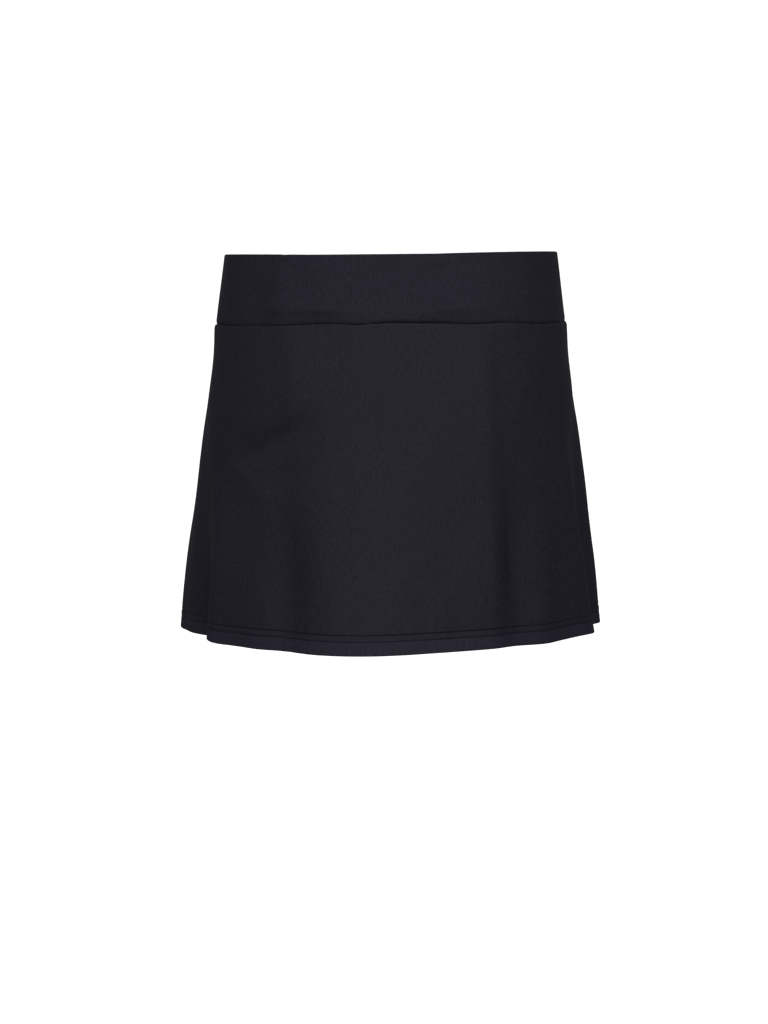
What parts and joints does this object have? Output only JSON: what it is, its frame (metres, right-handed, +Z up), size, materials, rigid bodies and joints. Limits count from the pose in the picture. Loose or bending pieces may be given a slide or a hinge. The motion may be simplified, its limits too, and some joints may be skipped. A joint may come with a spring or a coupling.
{
  "type": "tennis skort",
  "caption": "Short flared sports skirt with a wide shaped waistband and close-fitting shorts sewn in under it, filled out as worn.",
  "frame": {"origin": "middle of the waist opening, level with the waistband's top edge, where the wearer's waist holds the skort", "axes": "+Z up, out of the waist opening; the front faces -Y; +X to the right as seen from the front"},
  "size_m": [0.384, 0.2943, 0.3404],
  "materials": {
    "outer_knit": "smooth matt blue-black polyester and elastane jersey with a fine vertical rib",
    "shorts_knit": "matt blue-black elastane jersey, finer and softer than the skirt's"
  },
  "bodies": {
    "root": {"waistband_front": "outer_knit", "waistband_back": "outer_knit", "skirt_front": "outer_knit", "skirt_back": "outer_knit", "shorts_leg_left": "shorts_knit", "shorts_leg_right": "shorts_knit"}
  },
  "joints": []
}
